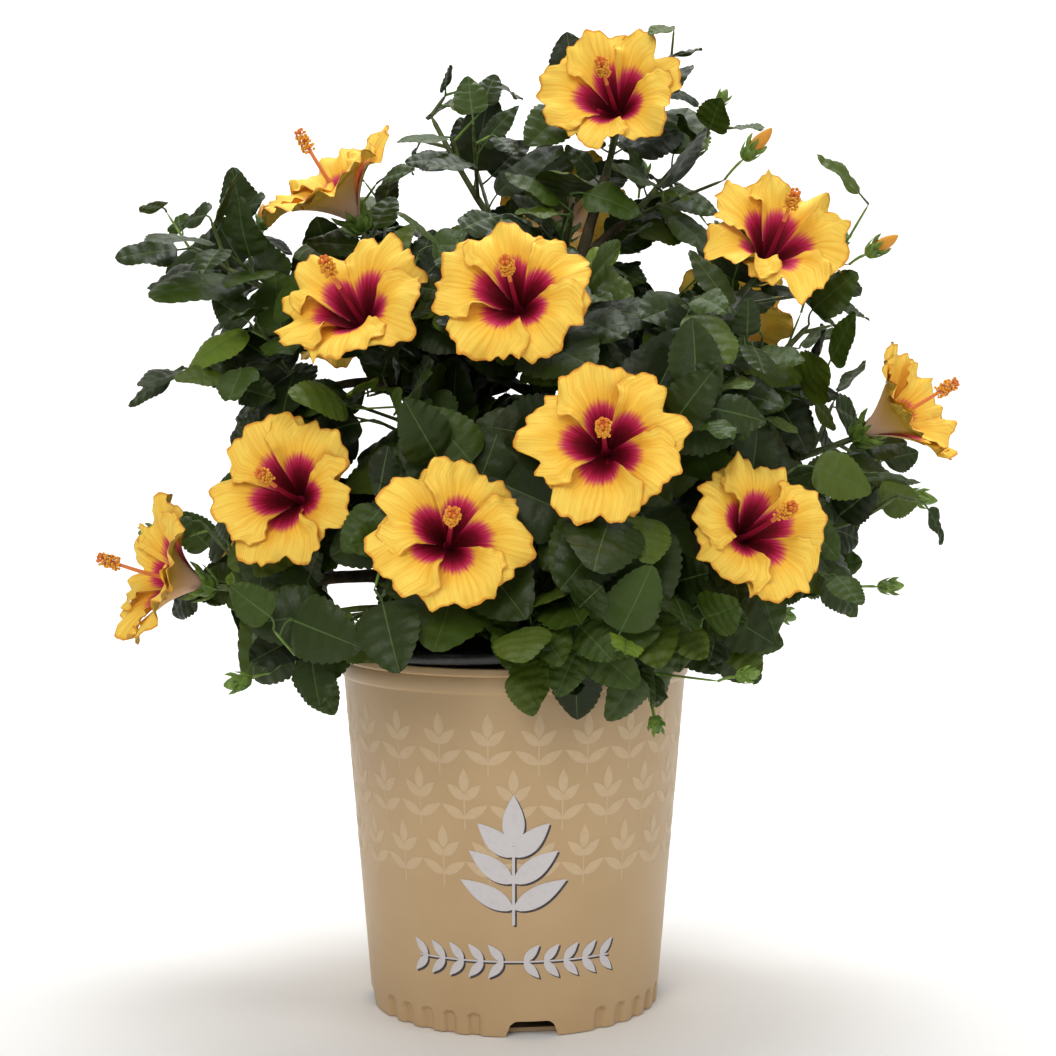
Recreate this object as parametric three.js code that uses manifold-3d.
// A hibiscus shrub in full bloom, standing in its nursery container.
// Millimetres, +Z up, the origin at the middle of the container's flat underside, the front at -Y.
import * as THREE from 'three';
import { mergeVertices } from 'three/addons/utils/BufferGeometryUtils.js';
import Module from 'manifold-3d';

const wasm = await Module();
wasm.setup();

// Clearance between neighbouring pieces
const GAP = 0.3;
const SOCKET_GAP = 0.4;

// Outer container: a tapered moulded shell with a rim band, a fluted foot and drain notches
const POT_HEIGHT = 277;
const POT_BASE_RADIUS = 113;
const POT_WALL_TOP_RADIUS = 134.5;
const POT_WALL = 2.2;
const POT_FLOOR = 3;
const POT_SIDES = 72;
const RIM_BAND = 19;
const RIM_PROUD = 2.2;
const RIM_BEVEL = 1.5;
const BEAD_HEIGHT = 6;
const BEAD_PROUD = 1;
const FLUTE_TOP = 22;
const FLUTE_RUNOUT = 5;
const FLUTE_DEPTH = 1.6;
const NOTCHES = 4;
const NOTCH_TURN = THREE.MathUtils.degToRad(7);
const NOTCH_PANEL = THREE.MathUtils.degToRad(19);
const NOTCH_WIDTH = 40;
const NOTCH_TOP_WIDTH = 28;
const NOTCH_HEIGHT = 12;
const NOTCH_DEPTH = 14;

// Inner grower's pot, set into the container a little askew
const LINER_TILT = THREE.MathUtils.degToRad(5);
const LINER_LOW_SIDE = THREE.MathUtils.degToRad(225);
const LINER_DEPTH = 225;
const LINER_TOP_RADIUS = 126;
const LINER_BASE_RADIUS = 92;
const LINER_WALL = 1.8;
const LIP_RADIUS = 138.5;
const LIP_HEIGHT = 9;
const LIP_BEVEL = 2;
const LINER_SIDES = 32;
const COMPOST_Z = 252;

// Trunk, measured from the compost to its fork
const TRUNK_FORK = [10, 5, 395];
const TRUNK_BEND = [-6, -4, 325];
const TRUNK_FOOT_RADIUS = 12;
const TRUNK_FORK_RADIUS = 8;
const ROOT_FLARE = 7;
const ROOT_FLARE_HEIGHT = 14;

// Radii of each limb at its root and at its end
const MAIN_BOUGH_RADII = [6.5, 4];
const SIDE_BOUGH_RADII = [4.8, 3.2];
const STEM_RADII = [2.9, 1.8];
const LONG_STEM_RADII = [3.4, 1.9];
const STALK_RADII = [1.6, 2];
const TWIG_RADII = [1.7, 1.1];

// How far a bough bows upwards, and the sideways turns it tries, as shares of its length
const BOUGH_RISE = 0.12;
const LONG_STEM_RISE = 0.16;
const STALK_SAG = 6;
const TURNS = [0, 1, -1, 2, -2, 3, -3, 4, -4].map((turn) => turn * 0.06);
const BOUGH_CLEARANCE = 2;
const STEM_CLEARANCE = 1;
const NEAR_ROOT = 0.4;

// Blossom: a five-lobed funnel with a long column
const BLOOM_RADIUS = 54;
const BLOOM_DEPTH = 42;
const PETALS = 5;
const PETAL_NOTCH = 0.12;
const PETAL_THICKNESS = 1.6;
const NECK_RADIUS = 3;
const NECK_FLOOR = 28;
const THROAT_RADIUS = 26;
const THROAT_DEPTH = 12;
const COLUMN_ROOT = 32;
const COLUMN_REACH = 44;
const COLUMN_RADII = [2.2, 3.4];

// Room that leaves and limbs leave around a bloom
const BLOOM_MARGIN = 7;
const RIM_ROOM = 10;
const BACK_ROOM = 34;
const BACK_ROOM_RADIUS = 18;
const FACE_ROOM = 110;
const FACE_ROOM_RADIUS = 46;
const SIGHT_ROOM = 400;
const SIGHT_ROOM_RADIUS = 48;

// Leaves
const LEAF_LENGTH = 92;
const PETIOLE_SHARE = 0.26;
const LEAF_HALF_WIDTH = 0.33;
const KITE_WIDEST_AT = 0.5;
const LEAF_DROP = 0.1;
const BLADE_FULLNESS = 0.75;
const LEAF_THICKNESS = 1.6;
const LEAF_SPACING = 22;
const LEAF_APART = 4;
const LEAVES_ON_TWIG = 3;
const LEAVES_ON_STEM = 6;
const LEAVES_BEHIND_BLOOM = 4;
const LEAF_SIZES = [0.78, 1.12];
const LEAF_TAPER = 0.38;
const LEAF_LEAN = [0.75, 1.25];
const LEAF_DROOP = [0.15, 0.95];
const LEAF_STRAY = 0.7;

// Growth
const GOLDEN_ANGLE = THREE.MathUtils.degToRad(137.5);
const TRIES = 10;
const SHRINK_PER_TRY = 0.07;
const TWIGS_IN_MASS = 5;
const TWIG_LENGTH = [70, 120];
const TWIG_LEAN = [0.65, 1.3];
const TWIG_RISE = 0.14;
const LEAVES_ALONG_TWIG = [0.42, 0.97];
const SHORT_STEM = { firstLeaf: 0.12, firstTwig: 0.08 };
const LONG_STEM = { firstLeaf: 0.45, firstTwig: 0.4 };
const LAST_LEAF = 0.98;
const LAST_TWIG = 0.95;
const STALK_AT = 0.55;
const ENTRY_BEFORE_HEART = 48;
const STEM_PAST_HEART = 62;
const STEM_BEHIND_BLOOM = 24;
const LONG_STEM_PAST_HEART = 16;
const SPACE_MARGIN = 1.2;
const TWIG_SPACE_MARGIN = 3;
const WOOD_CLEARANCE = 1.5;
const OWN_ROOT = 14;
const POT_CLEARANCE = 3;
const LOWEST_LEAF = 180;
const SAMPLE_STEP = 5;
const CROWN_CENTRE = new THREE.Vector3(0, 0, 400);
const OPEN_TOWARDS = new THREE.Vector3(11, -1536, 453);
const UP = new THREE.Vector3(0, 0, 1);

// A shoot grows from a share of its parent's length towards a place, and its foliage keeps within a
// reach of its heart. Where it has a facing it carries a bloom at that place, the heart just behind.
const shoot = (name, parent, share, place, reach, facing) => ({ name, parent, share, place, reach, facing });
const SHOOTS = [
  shoot('top', 'trunk', 1, [75, 0, 712], 88, [-0.21, -0.91, 0.36]),
  shoot('upper_left', 'trunk', 0.88, [-145, 20, 645], 95, [-0.52, -0.28, 0.81]),
  shoot('upper_right', 'trunk', 0.93, [201, -40, 598], 105, [0.18, -0.78, 0.6]),
  shoot('far_left', 'trunk', 0.44, [-272, -50, 340], 95, [-0.86, -0.42, 0.28]),
  shoot('right', 'trunk', 0.66, [302, -20, 464], 85, [0.76, -0.44, 0.47]),
  shoot('low_front', 'trunk', 0.5, [-43, -200, 380], 115, [0.08, -0.94, 0.33]),
  shoot('left', 'upper_left', 0.3, [-121, -100, 545], 115, [-0.31, -0.77, 0.56]),
  shoot('middle', 'top', 0.18, [0, -150, 549], 120, [-0.11, -0.92, 0.37]),
  shoot('front', 'trunk', 0.74, [63, -200, 443], 120, [-0.06, -0.97, 0.25]),
  shoot('low_right', 'right', 0.3, [177, -150, 382], 110, [0.35, -0.87, 0.33]),
  shoot('low_left', 'far_left', 0.4, [-167, -120, 407], 105, [-0.24, -0.93, 0.27]),
  shoot('left_high', 'upper_left', 0.55, [-225, 20, 575], 92),
  shoot('left_side', 'upper_left', 0.42, [-205, -10, 482], 98),
  shoot('top_left', 'top', 0.45, [-40, 25, 650], 90),
  shoot('top_right', 'top', 0.6, [120, 40, 650], 90),
  shoot('top_middle', 'top', 0.32, [38, 45, 590], 100),
  shoot('right_high', 'right', 0.5, [205, -10, 505], 90),
  shoot('right_inner', 'upper_right', 0.28, [125, -45, 475], 120),
  shoot('right_low', 'right', 0.42, [245, -40, 375], 92),
  shoot('back', 'trunk', 0.54, [0, 235, 400], 120, [0, 0.9, 0.4]),
  shoot('back_right', 'trunk', 0.82, [190, 185, 550], 115, [0.55, 0.7, 0.45]),
  shoot('back_left', 'trunk', 0.76, [-150, 180, 550], 115, [-0.5, 0.7, 0.5]),
  shoot('back_top', 'back_right', 0.5, [40, 150, 640], 110, [0, 0.75, 0.65]),
  shoot('back_low_right', 'back_right', 0.25, [215, 150, 365], 110, [0.65, 0.7, 0.25]),
  shoot('back_low_left', 'back_left', 0.25, [-215, 145, 360], 110, [-0.7, 0.65, 0.25]),
];

// Shoots whose own stem rises straight from the trunk
const INNER_SHOOTS = [
  shoot('skirt_front', 'trunk', 0.16, [35, -150, 318], 110),
  shoot('skirt_left', 'trunk', 0.24, [-140, -105, 310], 110),
  shoot('skirt_right', 'trunk', 0.29, [120, -118, 312], 110),
  shoot('skirt_back', 'trunk', 0.2, [-62, 148, 318], 115),
  shoot('left_inner', 'trunk', 0.6, [-85, -50, 470], 120),
  shoot('right_side', 'trunk', 0.36, [215, 40, 320], 110),
];

const TAN_PLASTIC = { color: '#b6a088', roughness: 0.42, metalness: 0 };
const BLACK_PLASTIC = { color: '#1b1b1d', roughness: 0.3, metalness: 0 };
const COMPOST = { color: '#3a2b20', roughness: 0.95, metalness: 0 };
const BARK = { color: '#6a6446', roughness: 0.8, metalness: 0 };
const FOLIAGE = { color: '#364a1e', roughness: 0.45, metalness: 0 };

const part = new THREE.Group();

function addMesh(name, geometry, finish) {
  const mesh = new THREE.Mesh(geometry, new THREE.MeshStandardMaterial(finish));
  mesh.name = name;
  part.add(mesh);
}

// Solids and their joins
function toSolid(geometry) {
  const bare = geometry.clone();
  bare.deleteAttribute('normal');
  bare.deleteAttribute('uv');
  const merged = mergeVertices(bare, 1e-4);
  return new wasm.Manifold(new wasm.Mesh({
    numProp: 3,
    vertProperties: new Float32Array(merged.attributes.position.array),
    triVerts: new Uint32Array(merged.index.array),
  }));
}

function toGeometry(positions, indices) {
  const geometry = new THREE.BufferGeometry();
  geometry.setAttribute('position', new THREE.Float32BufferAttribute(positions, 3));
  geometry.setIndex(indices);
  geometry.computeVertexNormals();
  return geometry;
}

// The largest outer skin of a solid: sealed hollows are filled and loose scraps dropped
function largestSkin(solid) {
  const { vertProperties, triVerts } = solid.getMesh();
  const leader = Array.from({ length: vertProperties.length / 3 }, (_, i) => i);
  const find = (i) => {
    while (leader[i] !== i) i = leader[i] = leader[leader[i]];
    return i;
  };
  for (let k = 0; k < triVerts.length; k += 3) {
    leader[find(triVerts[k])] = find(triVerts[k + 1]);
    leader[find(triVerts[k + 1])] = find(triVerts[k + 2]);
  }
  const corner = (i) => new THREE.Vector3().fromArray(vertProperties, 3 * i);
  const skins = new Map();
  for (let k = 0; k < triVerts.length; k += 3) {
    const [a, b, c] = triVerts.subarray(k, k + 3);
    const key = find(a);
    const skin = skins.get(key) ?? { volume: 0, corners: [] };
    skin.volume += corner(a).dot(corner(b).cross(corner(c))) / 6;
    skin.corners.push(a, b, c);
    skins.set(key, skin);
  }
  const largest = [...skins.values()].reduce((best, skin) => (skin.volume > best.volume ? skin : best));
  const kept = [...new Set(largest.corners)];
  const order = new Map(kept.map((vertex, i) => [vertex, i]));
  const positions = kept.flatMap((i) => corner(i).toArray());
  return toGeometry(positions, largest.corners.map((i) => order.get(i)));
}

// A closed body from rings of points, each ring counter-clockwise seen from the next one
function closedRings(rings) {
  const sides = rings[0].length;
  const positions = rings.flat().flatMap((p) => [p.x, p.y, p.z]);
  const indices = [];
  for (let i = 0; i + 1 < rings.length; i++) {
    for (let j = 0; j < sides; j++) {
      const a = i * sides + j;
      const b = i * sides + ((j + 1) % sides);
      indices.push(a, b, b + sides, a, b + sides, a + sides);
    }
  }
  const last = (rings.length - 1) * sides;
  for (let j = 1; j + 1 < sides; j++) {
    indices.push(0, j + 1, j, last, last + j, last + j + 1);
  }
  return toGeometry(positions, indices);
}

function perpendicular(way) {
  const side = way.clone().cross(UP);
  if (side.length() < 0.2) side.copy(way).cross(new THREE.Vector3(1, 0, 0));
  return side.normalize();
}

const between = ([low, high], share) => THREE.MathUtils.lerp(low, high, share);

// A sum of vectors, each with its weight
const blend = (...pairs) => pairs.reduce((sum, [v, k]) => sum.addScaledVector(v, k), new THREE.Vector3());

// A tapering limb along a bent line
class Limb {
  constructor(name, start, bend, end, radii) {
    this.name = name;
    this.curve = new THREE.QuadraticBezierCurve3(start, bend, end);
    this.radii = radii;
    this.length = this.curve.getLength();
  }

  at(t) {
    return this.curve.getPoint(t);
  }

  along(t) {
    const { v0, v1, v2 } = this.curve;
    return blend([v1, 1 - 2 * t], [v0, t - 1], [v2, t]).normalize();
  }

  radius(t) {
    return between(this.radii, t);
  }

  samples() {
    const count = Math.max(8, Math.floor(this.length / SAMPLE_STEP));
    return Array.from({ length: count + 1 }, (_, i) => {
      const t = i / count;
      return { owner: this.name, t, point: this.at(t), radius: this.radius(t) };
    });
  }

  distance(point) {
    return Math.min(...this.samples().map((s) => s.point.distanceTo(point) - s.radius));
  }

  solid(sides, steps, fatten = 0, firstWay = null) {
    let across = perpendicular(this.along(0));
    const rings = [];
    for (let i = 0; i <= steps; i++) {
      const t = i / steps;
      const way = i === 0 && firstWay ? firstWay : this.along(t);
      across = across.clone().addScaledVector(way, -across.dot(way)).normalize();
      rings.push(ring(this.at(t), way, across, this.radius(t) + fatten, sides));
    }
    return toSolid(closedRings(rings));
  }
}

function ring(centre, way, across, radius, sides) {
  const other = way.clone().cross(across);
  return Array.from({ length: sides }, (_, j) => {
    const angle = (2 * Math.PI * j) / sides;
    return blend([centre, 1], [across, radius * Math.cos(angle)], [other, radius * Math.sin(angle)]);
  });
}

// Repeatable chance: every twig and leaf draws from a seed of its own
function draws(seed) {
  let state = seed;
  const draw = () => {
    state = (1664525 * state + 1013904223) % 4294967296;
    return state / 4294967296;
  };
  draw();
  draw();
  draw();
  return draw;
}

// Container
function potProfile() {
  const slope = (POT_WALL_TOP_RADIUS - POT_BASE_RADIUS) / (POT_HEIGHT - RIM_BAND);
  const wall = (z) => POT_BASE_RADIUS + slope * z;
  const bandFoot = POT_HEIGHT - RIM_BAND;
  const beadFoot = POT_HEIGHT - BEAD_HEIGHT;
  const band = POT_WALL_TOP_RADIUS + RIM_PROUD;
  return [
    [0, 0],
    [wall(0), 0],
    [wall(FLUTE_TOP), FLUTE_TOP],
    [wall(FLUTE_TOP + FLUTE_RUNOUT), FLUTE_TOP + FLUTE_RUNOUT],
    [wall(bandFoot), bandFoot],
    [band, bandFoot + RIM_BEVEL],
    [band, beadFoot],
    [band + BEAD_PROUD, beadFoot + BEAD_PROUD],
    [band + BEAD_PROUD, POT_HEIGHT],
    [wall(bandFoot) - POT_WALL, POT_HEIGHT],
    [wall(POT_FLOOR) - POT_WALL, POT_FLOOR],
    [0, POT_FLOOR],
  ].map(([r, z]) => new THREE.Vector2(r, z));
}

function revolve(profile, sides) {
  const geometry = new THREE.LatheGeometry(profile, sides);
  geometry.rotateX(Math.PI / 2);
  return geometry;
}

const notchAngle = (k) => NOTCH_TURN + (2 * Math.PI * k) / NOTCHES;

// Every other column of the foot is drawn in, except on the plain panels around the notches
function fluted(geometry) {
  const position = geometry.attributes.position;
  const column = (2 * Math.PI) / POT_SIDES;
  for (let i = 0; i < position.count; i++) {
    const [x, y, z] = [position.getX(i), position.getY(i), position.getZ(i)];
    const radius = Math.hypot(x, y);
    const angle = Math.atan2(y, x);
    const fromNotch = Math.min(...Array.from({ length: NOTCHES }, (_, k) => (
      Math.acos(Math.min(1, Math.cos(angle - notchAngle(k)))))));
    const drawnIn = Math.round(angle / column) % 2 !== 0 && fromNotch > NOTCH_PANEL;
    if (drawnIn && z < FLUTE_TOP + 1 && radius > POT_BASE_RADIUS - 1) {
      const inward = (radius - FLUTE_DEPTH) / radius;
      position.setXY(i, x * inward, y * inward);
    }
  }
  return geometry;
}

// A trapezium through the wall at the foot, wider at the ground
function notchCutter(angle) {
  const outline = new THREE.Shape();
  outline.moveTo(-NOTCH_WIDTH / 2, -1);
  outline.lineTo(NOTCH_WIDTH / 2, -1);
  outline.lineTo(NOTCH_TOP_WIDTH / 2, NOTCH_HEIGHT);
  outline.lineTo(-NOTCH_TOP_WIDTH / 2, NOTCH_HEIGHT);
  const cutter = new THREE.ExtrudeGeometry(outline, { depth: 2 * NOTCH_DEPTH, bevelEnabled: false });
  cutter.rotateX(Math.PI / 2);
  cutter.translate(0, NOTCH_DEPTH - POT_BASE_RADIUS, 0);
  cutter.rotateZ(angle);
  return toSolid(cutter);
}

function makePot() {
  let pot = toSolid(fluted(revolve(potProfile(), POT_SIDES)));
  for (let k = 0; k < NOTCHES; k++) {
    pot = pot.subtract(notchCutter(notchAngle(k)));
  }
  addMesh('pot', largestSkin(pot), TAN_PLASTIC);
}

// Inner pot and compost, drawn upright with the lip's underside at height 0
function linerSection(inset) {
  return { top: LINER_TOP_RADIUS - inset, base: LINER_BASE_RADIUS - inset, floor: inset - LINER_DEPTH };
}

// Tips a piece of the inner pot so that its lip rests on the container's rim at one side
function askew(geometry) {
  const axis = new THREE.Vector3(-Math.sin(LINER_LOW_SIDE), Math.cos(LINER_LOW_SIDE), 0);
  const lift = POT_HEIGHT + GAP + LIP_RADIUS * Math.sin(LINER_TILT);
  geometry.applyMatrix4(new THREE.Matrix4().makeRotationAxis(axis, LINER_TILT));
  geometry.translate(0, 0, lift);
  return geometry;
}

function makeLiner() {
  const outer = linerSection(0);
  const inner = linerSection(LINER_WALL);
  const lip = LIP_HEIGHT;
  const profile = [
    [0, outer.floor],
    [outer.base, outer.floor],
    [outer.top, 0],
    [LIP_RADIUS, 0],
    [LIP_RADIUS, lip - LIP_BEVEL],
    [LIP_RADIUS - LIP_BEVEL, lip],
    [inner.top + LIP_BEVEL / 2, lip],
    [inner.top, 0],
    [inner.base, inner.floor],
    [0, inner.floor],
  ].map(([r, z]) => new THREE.Vector2(r, z));
  addMesh('liner', askew(revolve(profile, LINER_SIDES)), BLACK_PLASTIC);
}

function makeCompost() {
  const inside = linerSection(LINER_WALL + GAP);
  const filling = askew(revolve([
    new THREE.Vector2(0, inside.floor),
    new THREE.Vector2(inside.base, inside.floor),
    new THREE.Vector2(inside.top, 0),
    new THREE.Vector2(0, 0),
  ], LINER_SIDES));
  const level = new THREE.BoxGeometry(4 * POT_BASE_RADIUS, 4 * POT_BASE_RADIUS, COMPOST_Z);
  level.translate(0, 0, COMPOST_Z / 2);
  addMesh('compost', largestSkin(toSolid(filling).intersect(toSolid(level))), COMPOST);
}

// Blossom
class Bloom {
  constructor(place, facing) {
    this.centre = new THREE.Vector3(...place);
    this.facing = new THREE.Vector3(...facing).normalize();
    this.seenFromFront = this.facing.y < 0;
    this.toViewer = OPEN_TOWARDS.clone().sub(this.centre).normalize();
  }

  // Height along an axis and distance from it
  measure(point, axis) {
    const offset = point.clone().sub(this.centre);
    const height = offset.dot(axis);
    return { height, radius: offset.addScaledVector(axis, -height).length() };
  }

  // Whether a point lies in the funnel or just in front of it
  holds(point, margin = 0) {
    const { height, radius } = this.measure(point, this.facing);
    const r = radius - margin;
    if (Math.abs(height) < RIM_ROOM) return r < BLOOM_RADIUS + BLOOM_MARGIN;
    if (height > 0) return height < COLUMN_REACH + BACK_ROOM_RADIUS && r < FACE_ROOM_RADIUS;
    const slope = (BLOOM_RADIUS - BACK_ROOM_RADIUS) / (BACK_ROOM - RIM_ROOM);
    return height > -BACK_ROOM && r < BACK_ROOM_RADIUS + (height + BACK_ROOM) * slope;
  }

  // Whether a point would also hide the bloom's face
  blocks(point) {
    if (this.holds(point)) return true;
    const { height, radius } = this.measure(point, this.facing);
    if (!this.seenFromFront) return height > 0 && height < FACE_ROOM && radius < FACE_ROOM_RADIUS;
    const sight = this.measure(point, this.toViewer);
    return sight.height > 0 && sight.height < SIGHT_ROOM && sight.radius < SIGHT_ROOM_RADIUS;
  }

  solid() {
    const across = perpendicular(this.facing);
    const rim = (radius, height, notch = 0) => {
      const centre = blend([this.centre, 1], [this.facing, height]);
      return ring(centre, this.facing, across, radius, 2 * PETALS)
        .map((p, j) => (j % 2 === 0 ? p.lerp(centre, notch) : p));
    };
    const funnel = toSolid(closedRings([
      rim(NECK_RADIUS, -BLOOM_DEPTH),
      rim(THROAT_RADIUS, -THROAT_DEPTH),
      rim(BLOOM_RADIUS, PETAL_THICKNESS / 3, PETAL_NOTCH),
      rim(THROAT_RADIUS - PETAL_THICKNESS / 2, PETAL_THICKNESS - THROAT_DEPTH),
      rim(NECK_RADIUS, -NECK_FLOOR),
    ]));
    const root = blend([this.centre, 1], [this.facing, -COLUMN_ROOT]);
    const end = blend([this.centre, 1], [this.facing, COLUMN_REACH]);
    const column = new Limb('column', root, root.clone().lerp(end, 0.5), end, COLUMN_RADII);
    return funnel.add(column.solid(3, 1));
  }
}

// Layout of limbs
function isClear(limb, others, parent, gap) {
  return limb.samples().every((s) => {
    const inSocket = s.t < NEAR_ROOT && parent.distance(s.point) < 1;
    return inSocket || others.every((other) => other === parent || other.samples()
      .every((o) => o.point.distanceTo(s.point) >= o.radius + s.radius + gap));
  });
}

// A bent limb that tries its turns until one is free
function layLimb(name, start, way, end, rise, radii, isFree) {
  const side = perpendicular(way);
  const tried = TURNS.map((turn) => {
    const bend = blend([start, 0.5], [end, 0.5], [UP, rise * way.length()], [side, turn * way.length()]);
    return new Limb(name, start, bend, end, radii);
  });
  return tried.find(isFree) ?? tried[0];
}

function growBough({ name, parent, share }, heart, limbs, blooms) {
  const from = limbs.get(parent);
  const start = from.at(share);
  const way = heart.clone().sub(start);
  const end = blend([start, 1], [way, 1 - ENTRY_BEFORE_HEART / way.length()]);
  const radii = parent === 'trunk' ? MAIN_BOUGH_RADII : SIDE_BOUGH_RADII;
  return layLimb(name, start, way, end, BOUGH_RISE, radii, (bough) => (
    bough.samples().every((s) => !blooms.some((b) => b.holds(s.point, s.radius)))
    && isClear(bough, [...limbs.values()], from, BOUGH_CLEARANCE)));
}

function growLongStem({ name, share }, heart, trunk, laid) {
  const start = trunk.at(share);
  const way = heart.clone().sub(start);
  const end = blend([heart, 1], [way, LONG_STEM_PAST_HEART / way.length()]);
  return layLimb(`${name}_stem`, start, way, end, LONG_STEM_RISE, LONG_STEM_RADII, (stem) => (
    isClear(stem, laid, trunk, STEM_CLEARANCE)));
}

// The stem of a mass carries on from its bough's end, through the heart
function growStem({ name }, heart, outward, bough, pastHeart) {
  const rise = blend([bough.along(1), 0.9], [UP, 0.5], [outward, 0.2]).normalize();
  const tip = blend([heart, 1], [rise, pastHeart]);
  const entry = blend([bough.at(1), 1], [bough.along(1), GAP]);
  const bend = blend([heart, 2], [entry, -0.5], [tip, -0.5]);
  return new Limb(`${name}_stem`, entry, bend, tip, STEM_RADII);
}

function growStalk({ name }, stem, bloom) {
  const root = stem.at(STALK_AT);
  const base = blend([bloom.centre, 1], [bloom.facing, 2 - BLOOM_DEPTH]);
  const bow = blend([root, 0.5], [base, 0.5], [UP, -STALK_SAG]);
  return new Limb(`${name}_stalk`, root, bow, base, STALK_RADII);
}

function layOut() {
  const foot = new THREE.Vector3(0, 0, COMPOST_Z + GAP);
  const trunk = new Limb('trunk', foot, new THREE.Vector3(...TRUNK_BEND), new THREE.Vector3(...TRUNK_FORK),
    [TRUNK_FOOT_RADIUS, TRUNK_FORK_RADIUS]);
  const limbs = new Map([['trunk', trunk]]);
  const blooms = SHOOTS.filter((s) => s.facing).map((s) => new Bloom(s.place, s.facing));
  const masses = [];
  for (const row of SHOOTS) {
    const bloom = row.facing && new Bloom(row.place, row.facing);
    const heart = new THREE.Vector3(...row.place);
    if (bloom) heart.addScaledVector(bloom.facing, -BLOOM_DEPTH);
    const outward = heart.clone().sub(CROWN_CENTRE).normalize();
    const bough = growBough(row, heart, limbs, blooms);
    limbs.set(row.name, bough);
    const stem = growStem(row, heart, outward, bough, bloom ? STEM_BEHIND_BLOOM : STEM_PAST_HEART);
    const stalk = bloom && growStalk(row, stem, bloom);
    masses.push({ ...row, ...SHORT_STEM, bloom, heart, outward, stem, stalk });
  }
  const longStems = [];
  for (const row of INNER_SHOOTS) {
    const heart = new THREE.Vector3(...row.place);
    const outward = heart.clone().sub(CROWN_CENTRE).normalize();
    const stem = growLongStem(row, heart, trunk, [...limbs.values(), ...longStems]);
    longStems.push(stem);
    masses.push({ ...row, ...LONG_STEM, inner: true, heart, outward, stem });
  }
  return { limbs, blooms, masses: masses.map((mass, i) => ({ ...mass, seed: 7919 * (101 + i) })) };
}

// Space: each mass owns the points nearer to its heart than to any other, within its reach
function inOwnSpace(point, mass, masses, margin) {
  const own = point.distanceToSquared(mass.heart);
  if (own > mass.reach ** 2) return false;
  return masses.every((other) => {
    if (other === mass) return true;
    const apart = other.heart.distanceTo(mass.heart);
    return point.distanceToSquared(other.heart) - own >= 2 * margin * apart;
  });
}

// Clear of the tilted lip and of the wall below it, and not hanging too low
function clearOfPot(point) {
  const rise = LIP_RADIUS * Math.sin(LINER_TILT);
  const turned = Math.cos(Math.atan2(point.y, point.x) - LINER_LOW_SIDE);
  const lipTop = POT_HEIGHT + LIP_HEIGHT + rise * (1 - turned) + POT_CLEARANCE;
  const overPot = Math.hypot(point.x, point.y) < LIP_RADIUS + 2 * POT_CLEARANCE;
  return point.z > (overPot ? lipTop : LOWEST_LEAF);
}

// Leaves
function leafShape(root, petiole, way, normal, length) {
  const side = way.clone().cross(normal).normalize();
  const joint = blend([root, 1], [petiole, PETIOLE_SHARE * length]);
  const tip = blend([joint, 1], [way, length], [normal, -LEAF_DROP * length]);
  const middle = root.clone().lerp(tip, KITE_WIDEST_AT);
  const left = blend([middle, 1], [side, -LEAF_HALF_WIDTH * length]);
  const right = blend([middle, 1], [side, LEAF_HALF_WIDTH * length]);
  return { root, joint, middle, tip, left, right, way, normal, side, length };
}

// Points all over the drooping blade, the kite's own corners first
function bladePoints({ tip, left, right, joint, way, side, normal, length }) {
  const points = [tip, left, right, joint];
  for (const u of [0.15, 0.35, 0.55, 0.75, 0.9]) {
    const mid = blend([joint, 1], [way, u * length], [normal, -LEAF_DROP * length * u * u]);
    const half = LEAF_HALF_WIDTH * length * Math.sin(Math.PI * u ** BLADE_FULLNESS);
    for (const v of [-1, -0.5, 0, 0.5, 1]) {
      points.push(blend([mid, 1], [side, v * half]));
    }
  }
  return points;
}

function kiteFaces({ root, left, right, tip }) {
  return [new THREE.Triangle(root, left, tip), new THREE.Triangle(tip, right, root)];
}

// A thin kite: its side points lie a leaf's thickness above the line from root to tip
function leafSolid({ root, left, right, tip, normal }) {
  const over = (point) => blend([point, 1], [normal, LEAF_THICKNESS]);
  const positions = [root, tip, over(left), over(right)].flatMap((p) => [p.x, p.y, p.z]);
  return toSolid(toGeometry(positions, [0, 3, 2, 2, 3, 1, 0, 2, 1, 0, 1, 3]));
}

function awayFrom(point, distance, faces) {
  const closest = new THREE.Vector3();
  return faces.every((face) => face.closestPointToPoint(point, closest).distanceTo(point) >= distance);
}

// A leaf stays in its mass's space, hides no bloom, and touches neither pot, limb nor other leaf
function leafFits(leaf, mass, crown, { near, own, grown }) {
  const points = bladePoints(leaf);
  if (!points.slice(0, 4).every((p) => inOwnSpace(p, mass, crown.masses, SPACE_MARGIN))) return false;
  if (!points.every((p) => clearOfPot(p) && !crown.blooms.some((b) => b.blocks(p)))) return false;
  if (crown.leafMiddles.some((m) => m.distanceTo(leaf.middle) < LEAF_SPACING)) return false;
  const faces = kiteFaces(leaf);
  const clearOf = (s) => s.point.distanceTo(leaf.middle) > leaf.length + s.radius
    || awayFrom(s.point, s.radius + WOOD_CLEARANCE, faces);
  if (!near.every(clearOf)) return false;
  if (!own.every((s) => s.point.distanceTo(leaf.root) < OWN_ROOT || clearOf(s))) return false;
  return grown.every((other) => other.middle.distanceTo(leaf.middle) > leaf.length + other.length
    || (points.every((p) => awayFrom(p, LEAF_APART, kiteFaces(other)))
      && bladePoints(other).every((p) => awayFrom(p, LEAF_APART, faces))));
}

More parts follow.
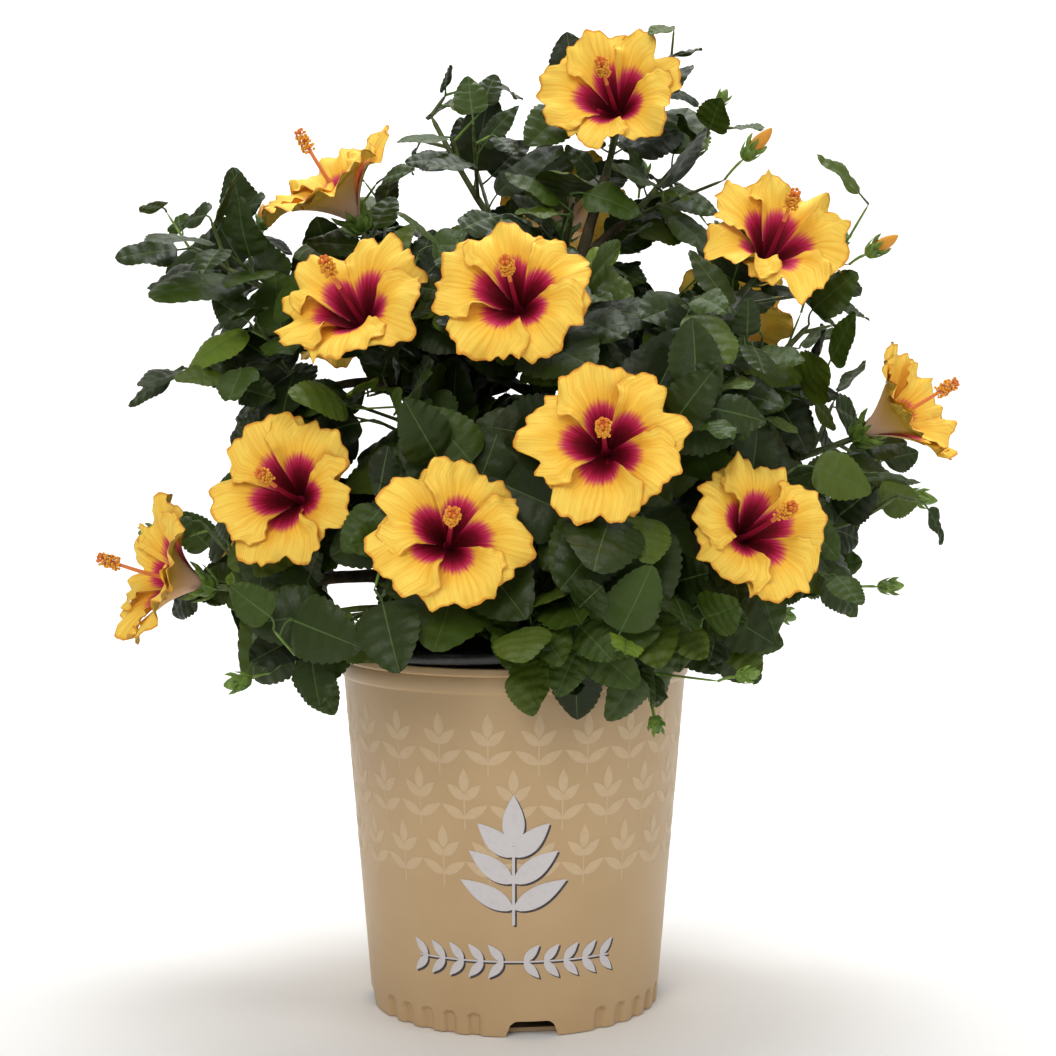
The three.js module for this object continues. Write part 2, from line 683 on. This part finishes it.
// A leaf leans off its limb, droops, and turns its face to the light. It tries until it fits.
function growLeaf(mass, limb, t, azimuth, size, draw, crown, around) {
  const tangent = limb.along(t);
  const side = perpendicular(tangent);
  const other = tangent.clone().cross(side);
  for (let k = 0; k < TRIES; k++) {
    const angle = azimuth + 0.5 * k * GOLDEN_ANGLE;
    const lean = between(LEAF_LEAN, draw());
    const droop = between(LEAF_DROOP, draw());
    const stray = new THREE.Vector3(draw() - 0.5, draw() - 0.5, 0);
    const radial = blend([side, Math.cos(angle)], [other, Math.sin(angle)]);
    const petiole = blend([tangent, Math.cos(lean)], [radial, Math.sin(lean)]).normalize();
    const way = blend([petiole, 0.9], [mass.outward, 0.35], [UP, -droop]).normalize();
    const light = blend([UP, 0.6], [mass.outward, 0.95], [petiole, 0.1], [stray, LEAF_STRAY]).normalize();
    const normal = light.addScaledVector(way, -light.dot(way));
    const length = size * (1 - SHRINK_PER_TRY * k);
    const leaf = leafShape(limb.at(t), petiole, way, normal.normalize(), length);
    if (leafFits(leaf, mass, crown, around)) {
      crown.leafMiddles.push(leaf.middle);
      around.grown.push(leaf);
      return;
    }
  }
}

// Twigs
function twigFits(twig, mass, { masses, blooms }, near) {
  return twig.samples().slice(1).every((s) => inOwnSpace(s.point, mass, masses, TWIG_SPACE_MARGIN)
    && clearOfPot(s.point)
    && !blooms.some((b) => b.blocks(s.point))
    && near.every((o) => o.point.distanceTo(s.point) >= o.radius + TWIG_RADII[0] + WOOD_CLEARANCE));
}

function growTwig(mass, index, start, draw, crown, near) {
  const t = between([mass.firstTwig, LAST_TWIG], index / (TWIGS_IN_MASS - 1));
  const root = mass.stem.at(t);
  const tangent = mass.stem.along(t);
  const side = perpendicular(tangent);
  const other = tangent.clone().cross(side);
  for (let k = 0; k < TRIES; k++) {
    const angle = start + (index + 0.5 * k) * GOLDEN_ANGLE;
    const lean = between(TWIG_LEAN, draw());
    const length = between(TWIG_LENGTH, draw()) * (1 - SHRINK_PER_TRY * k);
    const radial = blend([side, Math.cos(angle)], [other, Math.sin(angle)]);
    const offset = blend([tangent, Math.cos(lean)], [radial, Math.sin(lean)]);
    const way = blend([offset, 1], [UP, TWIG_RISE], [mass.outward, 0.1]).normalize();
    const end = blend([root, 1], [way, length]);
    const twig = new Limb('twig', root, blend([root, 0.5], [end, 0.5]), end, TWIG_RADII);
    if (twigFits(twig, mass, crown, near)) return twig;
  }
  return null;
}

function growMass(mass, crown) {
  const ownNames = [mass.stem.name, mass.stalk?.name];
  const near = crown.samples.filter((s) => !ownNames.includes(s.owner)
    && s.point.distanceTo(mass.heart) < mass.reach + LEAF_SPACING);
  const start = 2 * Math.PI * draws(mass.seed)();
  const twigs = [];
  for (let j = 0; j < TWIGS_IN_MASS; j++) {
    const twig = growTwig(mass, j, start, draws(mass.seed + 31 * j + 1000), crown, near);
    if (twig) twigs.push(twig);
  }
  const wood = [mass.stem, mass.stalk, ...twigs].filter((limb) => limb);
  const around = { near, own: wood.flatMap((limb) => limb.samples()), grown: [] };
  const grow = (limb, t, turns, draw) => {
    const size = LEAF_LENGTH * between(LEAF_SIZES, draw()) * (1 - LEAF_TAPER * t * t);
    growLeaf(mass, limb, t, start + turns * GOLDEN_ANGLE, size, draw, crown, around);
  };
  const onStem = mass.bloom ? LEAVES_BEHIND_BLOOM : LEAVES_ON_STEM;
  for (let k = 0; k < onStem; k++) {
    const t = between([mass.firstLeaf, LAST_LEAF], k / (onStem - 1));
    grow(mass.stem, t, k, draws(mass.seed + 17 * k + 5));
  }
  twigs.forEach((twig, j) => {
    for (let k = 0; k < LEAVES_ON_TWIG; k++) {
      const t = between(LEAVES_ALONG_TWIG, k / (LEAVES_ON_TWIG - 1));
      grow(twig, t, j + k, draws(mass.seed + 97 * j + 11 * k + 5000));
    }
  });
  return { twigs, leaves: around.grown };
}

function makeMass(mass, crown, fatTrunk) {
  const { twigs, leaves } = growMass(mass, crown);
  let body = mass.inner
    ? mass.stem.solid(4, 5).subtract(fatTrunk)
    : mass.stem.solid(4, 3, 0, crown.limbs.get(mass.name).along(1));
  if (mass.bloom) body = body.add(mass.stalk.solid(3, 2)).add(mass.bloom.solid());
  for (const twig of twigs) body = body.add(twig.solid(3, 1));
  for (const leaf of leaves) body = body.add(leafSolid(leaf));
  addMesh(`mass_${mass.name}`, largestSkin(body), FOLIAGE);
}

// Trunk and boughs
function trunkSolid(trunk, fatten) {
  const steps = 6;
  let across = new THREE.Vector3(1, 0, 0);
  const rings = [];
  for (let i = 0; i <= steps; i++) {
    const t = (i / steps) ** 1.4;
    const centre = trunk.at(t);
    const way = i === 0 ? UP : trunk.along(t);
    const flare = ROOT_FLARE * Math.exp((COMPOST_Z - centre.z) / ROOT_FLARE_HEIGHT);
    across = across.clone().addScaledVector(way, -across.dot(way)).normalize();
    rings.push(ring(centre, way, across, trunk.radius(t) + flare + fatten, 10));
  }
  rings.push(rings[steps].map((p) => p.clone().addScaledVector(trunk.along(1), fatten)));
  return toSolid(closedRings(fatten ? rings : rings.slice(0, -1)));
}

// A bough is cut clear of its parent and of the boughs laid before it
function makeBough(row, limbs, fatTrunk) {
  const fat = (name) => (name === 'trunk' ? fatTrunk : limbs.get(name).solid(5, 4, SOCKET_GAP));
  let body = limbs.get(row.name).solid(5, 4).subtract(fat(row.parent));
  for (const elder of SHOOTS.slice(0, SHOOTS.indexOf(row))) {
    if (elder.parent === row.parent) body = body.subtract(fat(elder.name));
  }
  addMesh(`bough_${row.name}`, largestSkin(body), BARK);
}

makePot();
makeLiner();
makeCompost();

const { limbs, blooms, masses } = layOut();
const fatTrunk = trunkSolid(limbs.get('trunk'), SOCKET_GAP);
addMesh('trunk', largestSkin(trunkSolid(limbs.get('trunk'), 0)), BARK);
for (const row of SHOOTS) {
  makeBough(row, limbs, fatTrunk);
}

const woody = [...limbs.values(), ...masses.flatMap((m) => (m.stalk ? [m.stem, m.stalk] : [m.stem]))];
const samples = woody.flatMap((limb) => limb.samples());
const crown = { limbs, blooms, masses, samples, leafMiddles: [] };
for (const mass of masses) {
  makeMass(mass, crown, fatTrunk);
}

export default part;
